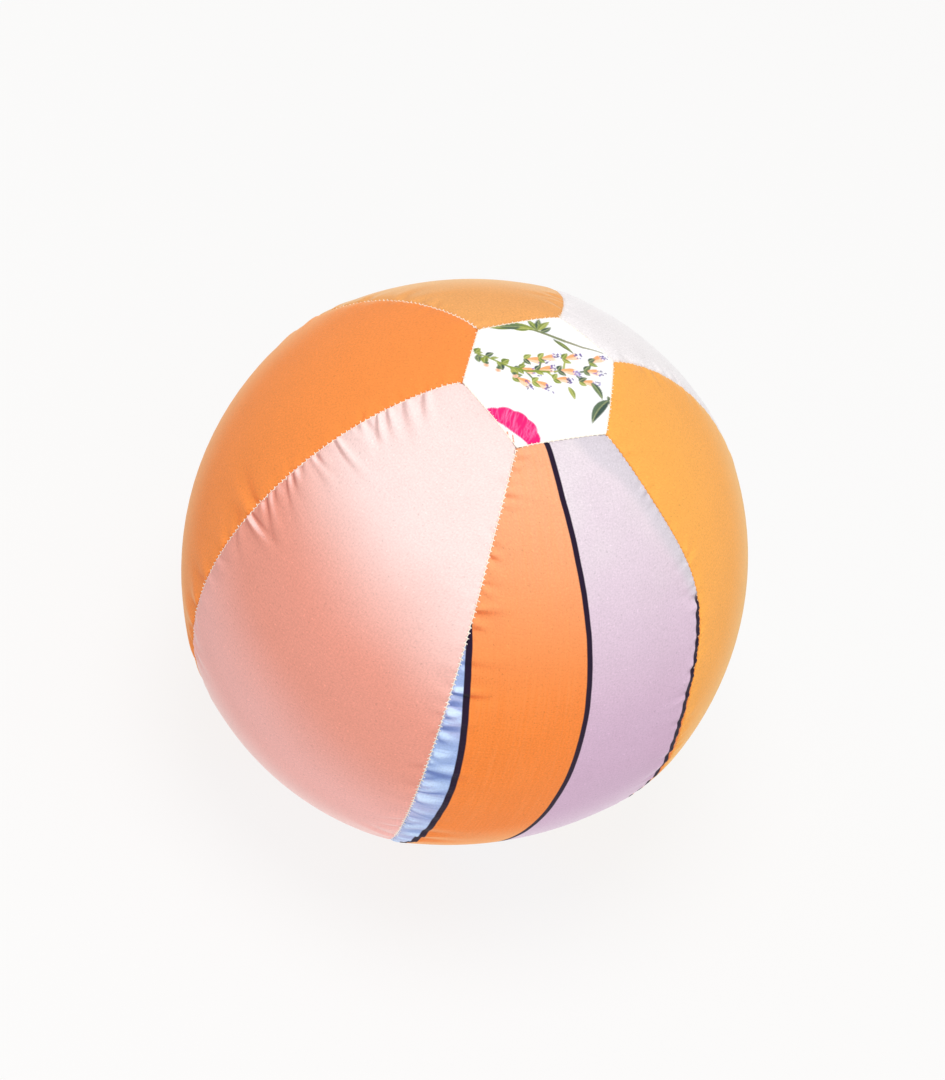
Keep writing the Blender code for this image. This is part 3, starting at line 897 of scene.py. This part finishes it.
class Painting:
    """Colours at many places of a flat cloth, painted one generic shape at a time. Lengths are in mm."""

    def __init__(self, places, ground):
        self.places = places[..., :2] / MM
        self.colours = np.broadcast_to(linear(*ground), (*places.shape[:-1], 3)).copy()

    def lay(self, cover, colour):
        """Lays a colour on, by its cover of 0 to 1 at each place."""
        cover = np.clip(cover, 0, 1)[..., None]
        self.colours = self.colours * (1 - cover) + linear(*colour) * cover

    def local(self, start, end):
        """The share of the way from start to end and the distance left of that line, and its length."""
        start, end = np.array(start, float), np.array(end, float)
        length = np.linalg.norm(end - start)
        forward = (end - start) / length
        offset = self.places - start
        return offset @ forward / length, offset @ np.array([-forward[1], forward[0]]), length

    def stroke(self, points, start_width, end_width, colour):
        """A tapering line through points."""
        cover = np.zeros(self.places.shape[:-1])
        count = len(points) - 1
        for index in range(count):
            share, side, length = self.local(points[index], points[index + 1])
            inside = np.clip(share, 0, 1)
            away = np.hypot(side, (share - inside) * length)
            width = start_width + (end_width - start_width) * (index + inside) / count
            cover = np.maximum(cover, (width / 2 - away) / EDGE_BLUR + 0.5)
        self.lay(cover, colour)

    def leaf(self, start, end, width, colour, shade, bend=0.0):
        """A pointed leaf with a shaded half and a pale rib."""
        share, side, length = self.local(start, end)
        side = side - bend * length * share * (1 - share)
        half = width / 2 * np.sin(math.pi * np.clip(share, 0, 1) ** 0.8) ** 0.85
        self.lay((half - np.abs(side)) / EDGE_BLUR + 0.5 * (half > 0.05), colour)
        self.lay(np.minimum((half - side) / EDGE_BLUR, side / EDGE_BLUR) * (half > 0.05), shade)
        rib = (0.12 - np.abs(side)) / EDGE_BLUR + 0.5
        self.lay(rib * 0.6 * (half > 0.35), LEAF_RIB)

    def bud(self, centre, end, width, colour, shade):
        """A round bud on a short stalk."""
        share, side, length = self.local(centre, end)
        away = np.hypot((share - 0.6) * length / (length * 0.55), side / (width / 2))
        self.lay((1 - away) * width / 2 / EDGE_BLUR, colour)
        self.lay((0.55 - away) * width / 2 / EDGE_BLUR, shade)

    def bell(self, start, end, width, dice):
        """A bell of a blossom, with violet specks at its open end."""
        share, side, length = self.local(start, end)
        inside = np.clip(share, 0, 1)
        half = width / 2 * (0.35 + 0.65 * np.sin(inside * 2.0) ** 1.2)
        cover = (half - np.abs(side)) / EDGE_BLUR * (share > 0) * (share < 1.0 + 0.08 * np.cos(side * 4))
        self.lay(cover, BELL[0])
        self.lay(np.minimum(cover, (side + 0.05 * width) / EDGE_BLUR * (inside < 0.85)), BELL[1])
        self.lay(cover * smooth(inside, 0.8, 1.0) * 0.7, BELL[2])
        forward = (np.array(end) - np.array(start)) / length
        for _ in range(11):
            spot = np.array(end) + forward * dice.uniform(-0.4, 1.9) + dice.uniform(-0.42, 0.42, 2) * width
            tip = spot + dice.uniform(-0.9, 0.9, 2)
            self.stroke([spot, tip], 0.65, 0.35, VIOLETS[dice.randint(3)])

    def bloom(self, centre, upwards, radius, colour, stripe, dice):
        """The upper part of a wide bloom, with a scalloped rim and fine upright stripes."""
        offset = self.places - centre
        away = np.hypot(offset[..., 0], offset[..., 1])
        angle = np.arctan2(offset[..., 1], offset[..., 0])
        rim = radius * (0.95 + 0.05 * np.abs(np.sin(angle * 6.5)))
        height, side, _ = self.local(centre, centre + upwards)
        cover = np.clip(np.minimum(rim - away, height - 0.52 * side - 0.3 * radius) / EDGE_BLUR, 0, 1)
        self.lay(cover, colour)
        for _ in range(70):
            start = dice.uniform(-radius, radius)
            wave = 0.35 * np.sin(height * dice.uniform(0.3, 0.8) + dice.uniform(0, 6))
            line = (0.13 - np.abs(side - start * (0.75 + height / radius * 0.25) - wave)) / EDGE_BLUR + 0.4
            middle = dice.uniform(0.1, 1.0) * radius
            reach = smooth(np.abs(height - middle), radius * dice.uniform(0.2, 0.4), radius * 0.15)
            self.lay(np.clip(line, 0, 1) * reach * cover * 0.8, stripe)

    def foliage(self, spot, forward, dice):
        """A broad leaf and a narrower one on each side of a stem."""
        for side in (-1, 1):
            for length, width, turn in ((4.6, 3.2, 1.15), (3.4, 1.8, 0.6)):
                if dice.uniform() < 0.25:
                    continue
                way = turned(forward, side * turn * dice.uniform(0.75, 1.25))
                start = spot + forward * dice.uniform(-1.2, 1.2)
                end = start + way * length * dice.uniform(0.8, 1.15)
                green = GREENS[dice.randint(4)]
                self.leaf(start, end, width * dice.uniform(0.8, 1.1), *green, 0.3 * side)

    def sprig(self, points, dice):
        """A leafy stem with buds along its first half and three rows of bells along the rest."""
        line = np.array(points, float)

        def stem(share):
            step = share * (len(line) - 1)
            spot = np.array([np.interp(step, range(len(line)), line[:, axis]) for axis in (0, 1)])
            index = min(int(step), len(line) - 2)
            forward = line[index + 1] - line[index]
            return spot, forward / np.linalg.norm(forward)

        for row in (1, -1, 0):
            for step in range(4):
                spot, forward = stem(0.46 + 0.14 * step + 0.04 * row + dice.uniform(-0.015, 0.015))
                start = spot + turned(forward, math.pi / 2) * (row * dice.uniform(4.8, 6.6) + 0.8)
                end = start + turned(forward, row * 0.35 + dice.uniform(-0.25, 0.25)) * dice.uniform(5.0, 6.6)
                self.stroke([spot - forward * 3, start], 1.0, 0.8, GREENS[step % 4][0])
                self.bell(start, end, dice.uniform(3.8, 4.8), dice)
                for side in (-1, 1):
                    green = GREENS[dice.randint(4)]
                    tip = start + turned(forward, side * dice.uniform(0.7, 1.2)) * dice.uniform(2.6, 3.8)
                    self.leaf(start - forward * 1.4, tip, 2.4, *green, 0.2 * side)
        for share in (0.01, 0.12, 0.24, 0.36):
            spot, forward = stem(share)
            self.foliage(spot, forward, dice)
            way = turned(forward, -dice.uniform(1.0, 1.5))
            if share > 0.05:
                bud = spot + way * dice.uniform(3.0, 4.4)
                self.bud(bud, bud + way * 2.2, 3.0, *BUD)
                self.bud(bud - way * 1.2, bud + way * 0.6, 2.4, *GREENS[1])
        self.stroke(points[:5], 0.8, 1.2, GREENS[0][0])


def paint_spray(painting, x, y, turn, dice):
    """One repeat of the print: a flowering sprig, a thin branch with leaves, a bloom and dark leaves."""
    across = np.array([math.cos(turn), math.sin(turn)])
    upwards = np.array([-across[1], across[0]])

    def at(right, up):
        return np.array([x, y]) + across * right + upwards * up

    painting.bloom(at(-6.5, -38.5), upwards, 15.4, *BLOOM, dice)
    for lean in (-3.2, -0.6, 1.8):
        painting.stroke([at(lean - 5, -36 - lean / 2), at(lean - 2.5, -44)], 0.7, 0.4, STALK)
    painting.stroke([at(-12, 25), at(-3, 25), at(2, 24.6), at(10, 23.6)], 1.1, 1.5, BRANCH)
    painting.stroke([at(10, 23.6), at(18, 23.2), at(27, 24.6)], 1.4, 0.6, TWIG)
    for index, (start, length, rise) in enumerate(FEATHER):
        foot = at(start, 25.2)
        tip = foot + upwards * rise - across * length
        painting.leaf(foot, tip, 3.4, *GREENS[index % 3], 0.12)
    for tip, green in zip(TUFT, GREENS):
        painting.leaf(at(-1.5, 25.5), at(*tip), 2.8, *green, 0.15)
    painting.leaf(at(-0.5, 25), at(3.5, 30), 2.4, *GREENS[3], -0.2)
    painting.leaf(at(5.4, 22.4), at(14.6, 17.6), 2.2, *GREENS[0], 0.15)
    painting.stroke([at(5.6, 22.6), at(9.5, 20.0), at(14.4, 17.9)], 0.6, 0.4, GREENS[3][1])
    painting.sprig([at(*point) for point in SPRIG], dice)
    for start, end, width, green, bend in DARK_LEAVES:
        painting.leaf(at(*start), at(*end), width, *GREENS[green], bend)


def print_cloth(data, places, sprays):
    """Paints the print on a white ground, one colour for each point of a mesh."""
    painting = Painting(places, FLORAL_GROUND)
    for seed, (x, y, turn) in enumerate(sprays):
        paint_spray(painting, x, y, math.radians(turn), np.random.RandomState(SPRAY_SEED + seed))
    layer = data.color_attributes.new("print", "FLOAT_COLOR", "POINT")
    colours = painting.colours.reshape(-1, 3)
    values = np.column_stack([colours, np.ones(len(colours))])
    layer.data.foreach_set("color", values.astype(np.float32).ravel())


# ------------------------------------------------------------------ the materials


class Tree:
    """A material under construction. Every method returns an output to feed into the next."""

    def __init__(self, name):
        self.material = bpy.data.materials.new(name)
        self.material.use_nodes = True
        self.nodes = self.material.node_tree.nodes
        self.links = self.material.node_tree.links

    def feed(self, socket, value):
        """Links a socket to an output or sets it to a value. A colour of three values is in sRGB."""
        if isinstance(value, bpy.types.NodeSocket):
            self.links.new(value, socket)
        elif socket.type == "RGBA" and len(value) == 3:
            socket.default_value = (*linear(*value), 1.0)
        else:
            socket.default_value = value

    def add(self, kind, inputs=None, **settings):
        """A node with its settings and named or numbered inputs."""
        node = self.nodes.new("ShaderNode" + kind)
        for key, value in settings.items():
            setattr(node, key, value)
        for key, value in (inputs or {}).items():
            self.feed(node.inputs[key], value)
        return node

    def math(self, operation, *values):
        """The result of a Math node."""
        return self.add("Math", dict(enumerate(values)), operation=operation).outputs[0]

    def sum(self, *values):
        """The values added up."""
        total = values[0]
        for value in values[1:]:
            total = self.math("ADD", total, value)
        return total

    def minus(self, first, second):
        """The second value taken from the first."""
        return self.math("SUBTRACT", first, second)

    def times(self, first, second):
        """Two values multiplied."""
        return self.math("MULTIPLY", first, second)

    def ease(self, value, low, high, start=0.0, end=1.0):
        """A smooth step from start to end as the value goes from low to high."""
        inputs = {0: value, 1: low, 2: high, 3: start, 4: end}
        return self.add("MapRange", inputs, interpolation_type="SMOOTHSTEP").outputs[0]

    def mix(self, share, first, second):
        """Two colours mixed."""
        return self.add("Mix", {0: share, 6: first, 7: second}, data_type="RGBA").outputs[2]

    def noise(self, place, scale, detail=2.0, roughness=0.5):
        """Noise of 0 to 1 with features of about 1/scale."""
        inputs = {"Vector": place, "Scale": scale, "Detail": detail, "Roughness": roughness}
        return self.add("TexNoise", inputs).outputs[0]

    def spread(self, place, scale, detail, width, roughness=0.5):
        """Noise about 0 that spreads over a width."""
        return self.times(self.minus(self.noise(place, scale, detail, roughness), 0.5), width)

    def vector(self, x, y, z=0.0):
        """A vector of three values."""
        return self.add("CombineXYZ", {0: x, 1: y, 2: z}).outputs[0]

    def texture_place(self):
        """The texture coordinates' two values in metres."""
        parts = self.add("SeparateXYZ", {0: self.add("TexCoord").outputs["UV"]})
        return parts.outputs[0], parts.outputs[1]

    def fold_light_and_shade(self):
        """The painted light and shade of the puckers: above 0 on crests and on slopes facing the top, below 0
        in creases.
        """
        return self.add("Attribute", attribute_name="fold_light_and_shade").outputs["Fac"]

    def curve(self, value, points, low, high, bottom, top):
        """A smooth curve through points (value, result); value lies in low..high, result in bottom..top."""
        share = self.add("MapRange", {0: value, 1: low, 2: high}).outputs[0]
        node = self.add("FloatCurve", {1: share})
        line = node.mapping.curves[0]
        for index, (place, result) in enumerate(points):
            x, y = (place - low) / (high - low), (result - bottom) / (top - bottom)
            if index < 2:
                line.points[index].location = (x, y)
            else:
                line.points.new(x, y)
        node.mapping.update()
        return self.add("MapRange", {0: node.outputs[0], 3: bottom, 4: top}).outputs[0]

    def finish(self, inputs):
        """The material, with its shader's inputs fed."""
        for key, value in inputs.items():
            self.feed(self.nodes["Principled BSDF"].inputs[key], value)
        return self.material


def weave(tree, x, y):
    """The bumps of a plain weave and the unevenness of its yarns: (height, slub tint)."""
    drift = tree.spread(tree.vector(x, y), 90.0, 1.0, 0.5 * MM)
    warp = tree.math("SINE", tree.times(tree.sum(x, drift), math.pi / YARN))
    weft = tree.math("SINE", tree.times(tree.minus(y, drift), math.pi / YARN))
    bump = tree.math("POWER", tree.math("ABSOLUTE", tree.times(warp, weft)), 0.6)
    thick_warp = tree.noise(tree.vector(tree.times(x, 1 / YARN), tree.times(y, 0.05 / YARN)), 1.0, 1.0)
    thick_weft = tree.noise(tree.vector(tree.times(x, 0.05 / YARN), tree.times(y, 1 / YARN), 7.0), 1.0, 1.0)
    slub = tree.minus(tree.sum(thick_warp, thick_weft), 1.0)
    return tree.sum(bump, tree.times(slub, 0.7)), slub


def cloth_material(name, paint, rim_sheen_share):
    """Plain-woven cotton with painted light and shade on its puckers and a painted sheen towards its outline.
    paint(tree, x, y) gives its colour.
    """
    tree = Tree(name)
    x, y = tree.texture_place()
    height, slub = weave(tree, x, y)
    fold_light_and_shade = tree.fold_light_and_shade()
    shade = tree.sum(
        1.0,
        tree.ease(tree.noise(tree.vector(x, y, 11.0), 750.0, 1.0), 0.66, 0.74, 0.0, -FLECK_SHADE),
        tree.ease(tree.noise(tree.vector(x, y, 13.0), 600.0, 1.0), 0.68, 0.76, 0.0, FLECK_SHADE),
        # Painted light and shade of the puckers
        tree.times(fold_light_and_shade, FOLD_PAINTED_SHADING),
        tree.times(slub, SLUB_SHADE),
        tree.spread(tree.vector(x, y, 3.0), 45.0, 3.0, CLOUD_SHADE),
        tree.spread(tree.vector(x, y, 5.0), 1100.0, 2.0, GRAIN_SHADE, 0.7),
    )
    colour = paint(tree, x, y)
    # Painted shade: a deeper colour in the creases of puckers
    crease_shade_colour = tree.add("Gamma", {0: colour, 1: 1.7}).outputs[0]
    colour = tree.mix(tree.ease(fold_light_and_shade, -0.7, 0.0, 0.6, 0.0), colour, crease_shade_colour)
    colour = tree.add("VectorMath", {0: colour, "Scale": shade}, operation="SCALE").outputs[0]
    # Painted sheen: towards the outline, bright colours mix with a paler, washed-out version of themselves
    facing = tree.add("LayerWeight", {"Blend": 0.5}).outputs["Facing"]
    brightness = tree.add("RGBToBW", {0: colour}).outputs[0]
    rim_sheen = tree.times(tree.ease(facing, 0.66, 1.0, 0.0, rim_sheen_share), tree.ease(brightness, 0.03, 0.15))
    rim_sheen_colour = tree.add("Gamma", {0: colour, 1: 0.45}).outputs[0]
    fuzz = tree.times(tree.noise(tree.vector(x, y, 9.0), 2600.0, 1.0), 0.5)
    bump = tree.add("Bump", {"Strength": 0.8, "Height": tree.sum(height, fuzz), "Distance": YARN_RELIEF})
    return tree.finish({
        "Base Color": tree.mix(rim_sheen, colour, rim_sheen_colour),
        "Roughness": 0.9,
        "Specular IOR Level": 0.25,
        "Sheen Weight": 0.08,
        "Sheen Roughness": 0.45,
        "Normal": bump.outputs[0],
    })


def plain(colour):
    """A paint of one dyed colour."""
    return lambda tree, x, y: colour


def printed(tree, _x, _y):
    """The colour painted on the mesh."""
    return tree.add("Attribute", attribute_name="print").outputs["Color"]


def ombre(tree, x, y):
    """A dusty pink that fades to a pale blush towards the top and the right. A paler pink towards the bottom
    is painted rim light, and blush on the crests of puckers is a painted highlight.
    """
    fall = tree.sum(y, tree.times(x, -0.38), tree.spread(tree.vector(x, y, 1.0), 14.0, 1.0, 26 * MM))
    colour = tree.mix(tree.ease(fall, 84 * MM, 150 * MM), BLUSH, DUSTY_PINK)
    # Painted rim light: a paler pink towards the bottom
    colour = tree.mix(tree.ease(fall, 168 * MM, 222 * MM), colour, RIM_LIT_PINK)
    # Painted highlight: blush on the crests of puckers
    return tree.mix(tree.ease(tree.fold_light_and_shade(), 0.15, 0.9, 0.0, 0.65), colour, BLUSH)


def band(tree, side, width):
    """1 within half a width of a line, from the signed distance to it."""
    return tree.ease(tree.math("ABSOLUTE", side), width / 2 + LINE_BLUR, width / 2 - LINE_BLUR)


def stripes(tree, x, y):
    """Broad bands of blue, orange, lilac and orange divided by inky lines. The orange is painted paler at the
    top as light, and the blue takes painted highlights and shade from its folds.
    """
    wandering = tree.sum(x, tree.spread(tree.vector(x, y, 2.0), 60.0, 1.0, 0.8 * MM))
    middle = tree.minus(wandering, tree.curve(y, MIDDLE_LINE, *LINE_LIMITS))
    left = tree.minus(wandering, tree.curve(y, LEFT_LINE, *LINE_LIMITS))
    right = tree.minus(wandering, tree.curve(y, RIGHT_LINE, *LINE_LIMITS))
    pale = tree.minus(x, tree.curve(y, PALE_EDGE, *LINE_LIMITS))
    streaks = tree.noise(tree.vector(tree.times(x, 900.0), tree.times(y, 30.0)), 1.0, 2.0)
    blotch = tree.noise(tree.vector(x, y, 4.0), 30.0, 2.0)
    ripple = tree.noise(tree.vector(tree.times(x, 70.0), tree.times(y, 800.0)), 1.0, 2.0)
    fold_light_and_shade = tree.fold_light_and_shade()
    # Painted light: the printed orange is paler towards the top
    orange = tree.mix(tree.ease(y, 40 * MM, 170 * MM), PRINT_ORANGE_LIT_TOP, PRINT_ORANGE)
    orange = tree.mix(tree.ease(streaks, 0.35, 0.75, 0.0, 0.2), orange, PRINT_ORANGE_STREAK)
    lilac = tree.mix(tree.ease(y, 40 * MM, 190 * MM), LILAC_TOP, LILAC)
    lilac = tree.mix(tree.ease(blotch, 0.3, 0.7, 0.0, 0.25), lilac, LILAC_BLOTCH)
    lilac = tree.mix(tree.ease(pale, -4 * MM, 3 * MM), lilac, PALE_GREY)
    blue = tree.mix(tree.ease(blotch, 0.35, 0.65), SKY_BLUE, PALE_BLUE)
    # Painted highlight and shade: the blue paler on pucker crests and darker in creases
    blue = tree.mix(tree.ease(fold_light_and_shade, 0.0, 0.5, 0.0, 0.7), blue, FOLD_HIGHLIGHT_BLUE)
    blue = tree.mix(tree.ease(fold_light_and_shade, -0.4, 0.0, 0.7, 0.0), blue, FOLD_SHADE_BLUE)
    # Painted shade of fine folds: thin streaks of the shaded blue across the band
    blue = tree.mix(tree.ease(ripple, 0.5, 0.75, 0.0, 0.5), blue, FOLD_SHADE_BLUE)
    below_start = tree.ease(y, 118 * MM, 124 * MM)
    sliver = tree.times(tree.ease(right, -BAND_BLUR, BAND_BLUR), below_start)
    colour = tree.mix(tree.ease(middle, -BAND_BLUR, BAND_BLUR), orange, lilac)
    colour = tree.mix(tree.ease(left, BAND_BLUR, -BAND_BLUR), colour, blue)
    colour = tree.mix(sliver, colour, SLIVER_ORANGE)
    ink = tree.math("MAXIMUM", band(tree, middle, MIDDLE_WIDTH), band(tree, left, LEFT_WIDTH))
    ink = tree.math("MAXIMUM", ink, tree.times(band(tree, right, RIGHT_WIDTH), below_start))
    return tree.mix(ink, colour, INK)


def thread_material():
    """Twisted cream sewing thread."""
    tree = Tree("sewing_thread")
    place = tree.add("TexCoord").outputs["Object"]
    ply = tree.add("TexWave", {"Vector": place, "Scale": 900.0, "Distortion": 1.0}).outputs["Fac"]
    return tree.finish({
        "Base Color": tree.mix(ply, THREAD_LIGHT, THREAD_DARK),
        "Roughness": 0.6,
        "Sheen Weight": 0.2,
        "Normal": tree.add("Bump", {"Height": ply, "Distance": 0.05 * MM}).outputs[0],
    })


def latex_material():
    """Thin natural rubber, glossy and slightly clouded."""
    tree = Tree("latex")
    place = tree.add("TexCoord").outputs["Object"]
    cloud = tree.noise(place, 40.0, 3.0)
    ripple = tree.add("Bump", {"Height": tree.noise(place, 500.0, 2.0), "Distance": 0.05 * MM})
    return tree.finish({
        "Base Color": tree.mix(cloud, LATEX_DARK, LATEX_LIGHT),
        "Roughness": tree.ease(cloud, 0.2, 0.8, 0.22, 0.36),
        "Subsurface Weight": 0.25,
        "Subsurface Radius": (0.004, 0.002, 0.001),
        "Coat Weight": 0.2,
        "Normal": ripple.outputs[0],
    })


# ------------------------------------------------------------------ the studio


def make_floor():
    """A pale floor that glows, so that the ball's shadow is faint."""
    data = bpy.data.meshes.new("floor")
    mesh = bmesh.new()
    bmesh.ops.create_grid(mesh, x_segments=1, y_segments=1, size=FLOOR_SIZE)
    mesh.to_mesh(data)
    mesh.free()
    floor = bpy.data.objects.new("floor", data)
    floor.location.z = CAD_LOW.z - FLOOR_GAP
    bpy.context.scene.collection.objects.link(floor)
    tree = Tree("floor")
    glow = tree.add("Emission", {"Color": GLOW_COLOUR, "Strength": FLOOR_GLOW})
    matte = tree.add("BsdfDiffuse", {"Color": MATTE_COLOUR})
    mixed = tree.add("MixShader", {0: FLOOR_MATTE, 1: glow.outputs[0], 2: matte.outputs[0]})
    tree.links.new(mixed.outputs[0], tree.nodes["Material Output"].inputs["Surface"])
    data.materials.append(tree.material)


def make_light(name, place, size, power):
    """A round soft box that faces the ball, which the camera doesn't see."""
    light = bpy.data.lights.new(name, "AREA")
    light.shape = "DISK"
    light.size = size
    light.energy = power
    box = bpy.data.objects.new(name, light)
    box.visible_camera = False
    box.location = place
    box.rotation_euler = (-place).to_track_quat("-Z", "Y").to_euler()
    bpy.context.scene.collection.objects.link(box)


def camera_axes():
    """The camera's right, up and backward directions."""
    azimuth, elevation, roll = (math.radians(value) for value in (AZIMUTH, ELEVATION, ROLL_ANGLE))
    back = Vector((
        math.sin(azimuth) * math.cos(elevation),
        -math.cos(azimuth) * math.cos(elevation),
        math.sin(elevation),
    ))
    level = Vector((0, 0, 1)).cross(back).normalized()
    upright = back.cross(level)
    right = level * math.cos(roll) + upright * math.sin(roll)
    up = upright * math.cos(roll) - level * math.sin(roll)
    return right, up, back


def make_camera(right, up, back):
    """The camera, which looks down on the ball with a tilt."""
    data = bpy.data.cameras.new("camera")
    data.lens = LENS
    data.sensor_width = 36.0
    camera = bpy.data.objects.new("camera", data)
    place = back * CAMERA_DISTANCE - right * CAMERA_SHIFT[0] - up * CAMERA_SHIFT[1]
    camera.matrix_world = Matrix.Translation(place) @ Matrix((right, up, back)).transposed().to_4x4()
    bpy.context.scene.collection.objects.link(camera)
    bpy.context.scene.camera = camera


def make_world():
    """An even white surround, which the camera sees as bright as the floor."""
    world = bpy.data.worlds.new("studio")
    world.use_nodes = True
    nodes = world.node_tree.nodes
    seen = nodes.new("ShaderNodeLightPath")
    strength = nodes.new("ShaderNodeMapRange")
    strength.inputs["To Min"].default_value = WORLD_STRENGTH
    strength.inputs["To Max"].default_value = FLOOR_GLOW
    background = nodes["Background"]
    background.inputs["Color"].default_value = (1.0, 1.0, 1.0, 1.0)
    world.node_tree.links.new(seen.outputs["Is Camera Ray"], strength.inputs["Value"])
    world.node_tree.links.new(strength.outputs["Result"], background.inputs["Strength"])
    bpy.context.scene.world = world


bpy.context.scene.view_settings.view_transform = "Standard"
bpy.context.scene.view_settings.look = "None"

# Each cloth by its slot: its paint, and how strong its painted rim sheen is
cloths = {
    "printed_cotton": (stripes, 0.75),
    "amber_cotton": (plain(AMBER), 0.6),
    "white_cotton": (plain(WHITE), 0.75),
    "apricot_cotton": (plain(APRICOT), 0.75),
    "orange_cotton": (plain(ORANGE), 0.7),
    "pink_ombre_cotton": (ombre, 0.85),
    "floral_cotton": (printed, 0.75),
    "natural_cotton": (plain(NATURAL), 0.75),
}
materials = {slot: cloth_material(slot, *look) for slot, look in cloths.items()}
materials["sewing_thread"] = thread_material()
materials["latex"] = latex_material()

for index in range(GORE_COUNT):
    make_gore(index)
    make_seam_thread(index)
make_top_panel()
make_top_panel_thread()
for flap_name, flap_side, flap_reach, flap_step in FLAPS:
    flap_hinge = HINGES[flap_name + "_hinge"]
    make_flap(flap_name, flap_hinge, flap_side, flap_reach, flap_step)
    make_hem_fold(flap_name, flap_hinge, flap_side, flap_reach, flap_step)
    make_flap_seam_thread(flap_name, flap_hinge, flap_side)
    make_hem_thread(flap_name, flap_hinge, flap_side, flap_reach, flap_step)
make_balloon()
make_knot()

make_floor()
make_world()
camera_right, camera_up, camera_back = camera_axes()
key_way = camera_back * KEY_PLACE[2] + camera_up * KEY_PLACE[1] + camera_right * KEY_PLACE[0]
make_light("soft_box", key_way * KEY_DISTANCE, KEY_SIZE, KEY_POWER)
make_light("fill", Vector(FILL_PLACE), FILL_SIZE, FILL_POWER)
make_camera(camera_right, camera_up, camera_back)
